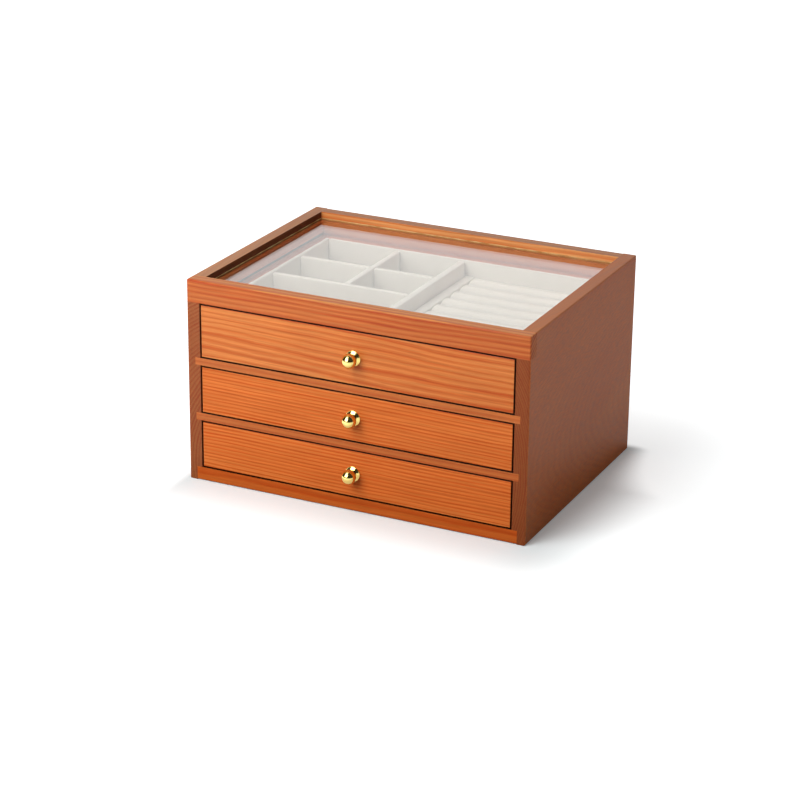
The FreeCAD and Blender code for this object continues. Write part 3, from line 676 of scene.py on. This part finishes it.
def roll_blank(length, width, height):
    """A roll lying along X with its foot on the floor: straight sides under a low round crown."""
    mesh = bmesh.new()
    half = width / 2
    arch = CROWN_SHARE * half
    arc_steps = 12
    outline = [(-half, 0.0)]
    for step in range(arc_steps + 1):
        angle = math.pi * step / arc_steps
        outline.append((-half * math.cos(angle), height - arch + arch * math.sin(angle)))
    outline.append((half, 0.0))
    ends = [[mesh.verts.new((x, y, z)) for y, z in outline] for x in (-length / 2, length / 2)]
    for i in range(len(outline)):
        j = (i + 1) % len(outline)
        mesh.faces.new((ends[0][i], ends[0][j], ends[1][j], ends[1][i]))
    mesh.faces.new(ends[0])
    mesh.faces.new(list(reversed(ends[1])))
    bmesh.ops.recalc_face_normals(mesh, faces=mesh.faces[:])
    return mesh


def blown_roll(length, width, height):
    """Points and faces of one roll after the cloth has swelled over its foam."""
    blank = roll_blank(*(SIM_SCALE * size for size in (length, width, height)))
    data = bpy.data.meshes.new("roll_cloth")
    blank.to_mesh(data)
    blank.free()
    cloth = bpy.data.objects.new("roll_cloth", data)
    bpy.context.scene.collection.objects.link(cloth)
    remesh = cloth.modifiers.new("even", "REMESH")
    remesh.mode = "VOXEL"
    remesh.voxel_size = SIM_VOXEL
    data = bpy.data.meshes.new_from_object(cloth.evaluated_get(bpy.context.evaluated_depsgraph_get()))
    cloth.modifiers.clear()
    cloth.data = data
    rest = [vert.co.copy() for vert in data.vertices]
    held = cloth.vertex_groups.new(name="foot")
    held.add([i for i, co in enumerate(rest) if co.z < 2 * SIM_VOXEL], 1.0, "REPLACE")
    swell = cloth.modifiers.new("swell", "CLOTH")
    swell.settings.use_pressure = True
    swell.settings.uniform_pressure_force = SIM_PRESSURE
    swell.settings.effector_weights.gravity = 0.0
    swell.settings.vertex_group_mass = "foot"
    swell.point_cache.frame_end = SIM_FRAMES
    for step in range(1, SIM_FRAMES + 1):
        bpy.context.scene.frame_set(step)
    graph = bpy.context.evaluated_depsgraph_get()
    after = cloth.evaluated_get(graph).to_mesh()
    points = []
    for start, vert in zip(rest, after.vertices):
        move = vert.co - start
        limit = SIM_SCALE * ROLL_CAP
        if move.length > limit:
            move *= limit / move.length
        points.append((start + move) / SIM_SCALE)
    faces = [tuple(polygon.vertices) for polygon in after.polygons]
    bpy.data.objects.remove(cloth)
    bpy.context.scene.frame_set(1)
    return points, faces


def dress_rolls():
    """Ten rolls in a row, each with its own small dents."""
    low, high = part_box("ring_rolls")
    pitch = (high.y - low.y + ROLL_GAP) / ROLL_COUNT
    length, width, height = high.x - low.x, pitch - ROLL_GAP, high.z - low.z
    slim = 2 * ROLL_SLACK
    points, faces = blown_roll(length - slim, width - slim, height - ROLL_SLACK)
    for number in range(ROLL_COUNT):
        middle = Vector(((low.x + high.x) / 2, low.y + width / 2 + number * pitch, low.z))
        mesh = bmesh.new()
        verts = []
        for point in points:
            dent = noise.noise(point * RIPPLE_CELLS + Vector((0.0, number * 2.3, number))) * SOFT_RIPPLE
            side = Vector((0.0, point.y, max(0.0, point.z - height / 2)))
            out = side.normalized() if side.length > 0.0 else Vector()
            verts.append(mesh.verts.new(middle + point + out * dent))
        for face in faces:
            mesh.faces.new([verts[i] for i in face])
        name = f"ring_roll_{number + 1}_flannel"
        roll = finished(name, mesh, soft_material, "upper_drawer", smooth=True)
        roll.modifiers.new("round", "SUBSURF").render_levels = 1
        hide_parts("ring_rolls")


# Studio
FLOOR_SIZE = 12.0
FLOOR_DROP = 0.0002
SKY_FILL = 0.19
DARK_STUDIO = 0.04
# How the floor's own light rises with the distance from the box, so that its shadow stays close
NEAR_LIFT, MIDDLE_LIFT, FAR_LIFT = 0.13, 0.66, 1.0
MIDDLE_REACH, FAR_REACH = 0.064, 0.90
FRONT_WIDENING, REAR_NARROWING, LEFT_NARROWING = 0.75, 3.2, 5.0
NARROWING_START, REAR_CUT = 0.02, 6.0
# How much of the lamps' light the floor sends up to the box
NEAR_BOUNCE, FAR_BOUNCE, BOUNCE_REACH = 0.05, 0.90, 0.30
# What polished things mirror of the floor
MIRROR_START, MIRROR_REACH = 0.02, 0.09
CARD_LEFT, CARD_RIGHT = -0.30, 0.05
CARD_SHADE = 0.48
CASE_MIDDLE, GLASS_MIDDLE = (0.0, 0.0, 0.07), (0.0, 0.0, 0.145)
# Lamps: place, the point that they face, width, height and brightness
LAMPS = {
    "key_softbox": ((-0.26, -0.81, 0.55), CASE_MIDDLE, 0.66, 0.66, 5.0),
    "top_softbox": ((-0.29, -0.47, 1.02), CASE_MIDDLE, 0.5, 0.5, 3.35),
    "back_softbox": ((-0.64, 1.35, 0.73), GLASS_MIDDLE, 0.8, 0.45, 0.25),
}


def world_light():
    """White to the eye and in mirrors that look behind the box, dark in front of it, and dim for fill."""
    world = bpy.data.worlds.new("studio")
    bpy.context.scene.world = world
    world.use_nodes = True
    tree = world.node_tree
    ground = tree.nodes["Background"]
    coords = add(tree, "ShaderNodeTexCoord").outputs["Generated"]
    way = add(tree, "ShaderNodeSeparateXYZ", {"Vector": coords})
    behind = map_range(tree, way.outputs["Y"], 0.0, 0.4, DARK_STUDIO, 1.0)
    path = add(tree, "ShaderNodeLightPath")
    seen = mix_colour(tree, path.outputs["Is Glossy Ray"], grey(SKY_FILL), behind)
    direct = maths(tree, "MAXIMUM", path.outputs["Is Camera Ray"], path.outputs["Is Transmission Ray"])
    shown = mix_colour(tree, direct, seen, grey(1.0))
    tree.links.new(shown, ground.inputs["Color"])
    ground.inputs["Strength"].default_value = 1.0


def floor():
    """A pale floor that keeps the box's shadow close to it and is white further out."""
    material, tree, shader = new_material("pale_floor")
    coords = add(tree, "ShaderNodeTexCoord").outputs["Object"]
    mottle = noise_at(tree, coords, (3.0, 3.0, 3.0), detail=2.0)
    tone = mix_colour(tree, mottle, colour(0.80, 0.86, 0.87), colour(0.82, 0.88, 0.89))
    path = add(tree, "ShaderNodeLightPath")
    shader.inputs["Roughness"].default_value = 1.0
    shader.inputs["Specular IOR Level"].default_value = 0.0
    panel_low, panel_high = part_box("right_side_panel")
    place = add(tree, "ShaderNodeSeparateXYZ", {"Vector": coords})
    across, along = place.outputs["X"], place.outputs["Y"]
    rightward = maths(tree, "MAXIMUM", maths(tree, "SUBTRACT", across, panel_high.x), 0.0)
    leftward = maths(tree, "MAXIMUM", maths(tree, "SUBTRACT", -panel_high.x, across), 0.0)
    narrowing = map_range(tree, along, NARROWING_START, panel_high.y, 1.0, REAR_NARROWING)
    before = maths(tree, "MAXIMUM", maths(tree, "SUBTRACT", panel_low.y, along), 0.0)
    behind = maths(tree, "MAXIMUM", maths(tree, "SUBTRACT", along, panel_high.y), 0.0)
    ends = maths(tree, "MULTIPLY_ADD", before, FRONT_WIDENING, maths(tree, "MULTIPLY", behind, REAR_CUT))
    shaded = maths(tree, "MULTIPLY", rightward, narrowing)
    sides = maths(tree, "MULTIPLY_ADD", leftward, LEFT_NARROWING, shaded)
    away = vector_maths(tree, "LENGTH", add(tree, "ShaderNodeCombineXYZ", {"X": sides, "Y": ends}).outputs[0])
    bounce = map_range(tree, away, 0.0, BOUNCE_REACH, NEAR_BOUNCE, FAR_BOUNCE)
    bounced = mix_colour(tree, path.outputs["Is Diffuse Ray"], tone, bounce)
    tree.links.new(bounced, shader.inputs["Base Color"])
    near = map_range(tree, away, 0.0, MIDDLE_REACH, NEAR_LIFT, MIDDLE_LIFT, "SMOOTHSTEP")
    far = map_range(tree, away, MIDDLE_REACH, FAR_REACH, 0.0, FAR_LIFT - MIDDLE_LIFT)
    lift = maths(tree, "ADD", near, far)
    card = map_range(tree, across, CARD_LEFT, CARD_RIGHT, FAR_LIFT, CARD_SHADE)
    mirror_lift = maths(tree, "MULTIPLY", card, map_range(tree, away, MIRROR_START, MIRROR_REACH, 0.0, 1.0))
    mirrored = maths(tree, "MULTIPLY", path.outputs["Is Glossy Ray"], mirror_lift)
    direct = maths(tree, "MAXIMUM", path.outputs["Is Camera Ray"], path.outputs["Is Transmission Ray"])
    shown = maths(tree, "MAXIMUM", maths(tree, "MULTIPLY", direct, lift), mirrored)
    shader.inputs["Emission Color"].default_value = grey(1.0)
    tree.links.new(shown, shader.inputs["Emission Strength"])
    mesh = bmesh.new()
    bmesh.ops.create_grid(mesh, x_segments=4, y_segments=4, size=FLOOR_SIZE / 2)
    data = bpy.data.meshes.new("studio_floor")
    mesh.to_mesh(data)
    mesh.free()
    ground = bpy.data.objects.new("studio_floor", data)
    ground.location.z = -FLOOR_DROP
    data.materials.append(material)
    bpy.context.scene.collection.objects.link(ground)


def softbox(name, place, target, width, height, brightness):
    """A rectangular lamp of an even brightness that faces a point and isn't seen itself."""
    lamp = bpy.data.lights.new(name, "AREA")
    lamp.shape = "RECTANGLE"
    lamp.size, lamp.size_y = width, height
    lamp.energy = brightness * math.pi * width * height
    holder = bpy.data.objects.new(name, lamp)
    holder.location = place
    holder.rotation_euler = (Vector(target) - Vector(place)).to_track_quat("-Z", "Y").to_euler()
    holder.visible_camera = False
    bpy.context.scene.collection.objects.link(holder)


def lights():
    """A key from the front, one from above on the left, and one that the glass mirrors to the camera."""
    for name, settings in LAMPS.items():
        softbox(name, *settings)


# Camera: from the front and the right, above the box
VIEW_AZIMUTH = 25.42
VIEW_ELEVATION = 21.30
VIEW_ROLL = 0.66
VIEW_DISTANCE = 1.800
VIEW_LENS = 111.9
VIEW_TARGET = Vector((-0.0108, 0.0, 0.0470))


def camera():
    azimuth, elevation = math.radians(VIEW_AZIMUTH), math.radians(VIEW_ELEVATION)
    flat = math.cos(elevation)
    back = Vector((math.sin(azimuth) * flat, -math.cos(azimuth) * flat, math.sin(elevation)))
    data = bpy.data.cameras.new("view")
    data.lens = VIEW_LENS
    data.clip_start, data.clip_end = 0.05, 60.0
    eye = bpy.data.objects.new("view", data)
    eye.location = VIEW_TARGET + back * VIEW_DISTANCE
    turn = (-back).to_track_quat("-Z", "Y").to_matrix()
    eye.rotation_euler = (turn @ Matrix.Rotation(math.radians(VIEW_ROLL), 3, "Z")).to_euler()
    bpy.context.scene.collection.objects.link(eye)
    bpy.context.scene.camera = eye


bpy.context.scene.view_settings.view_transform = "Standard"
dress_wood()
brass_material = brass()
steel_material = steel()
for knob_level in LEVELS:
    dress(f"{knob_level}_knob", brass_material)
    dress(f"{knob_level}_knob_screw", steel_material)
glass_pane(clear_glass(), painted_glint_lacquer("pane_edge_painted_glint", EDGE_GLINT_DIM, EDGE_GLINT_BRIGHT))
glass_seal(painted_glint_lacquer("painted_glint_lacquer", SEAL_GLINT_DIM, SEAL_GLINT_BRIGHT))
soft_material = flannel()
dress_tray()
dress_linings()
dress_rolls()
world_light()
floor()
lights()
camera()
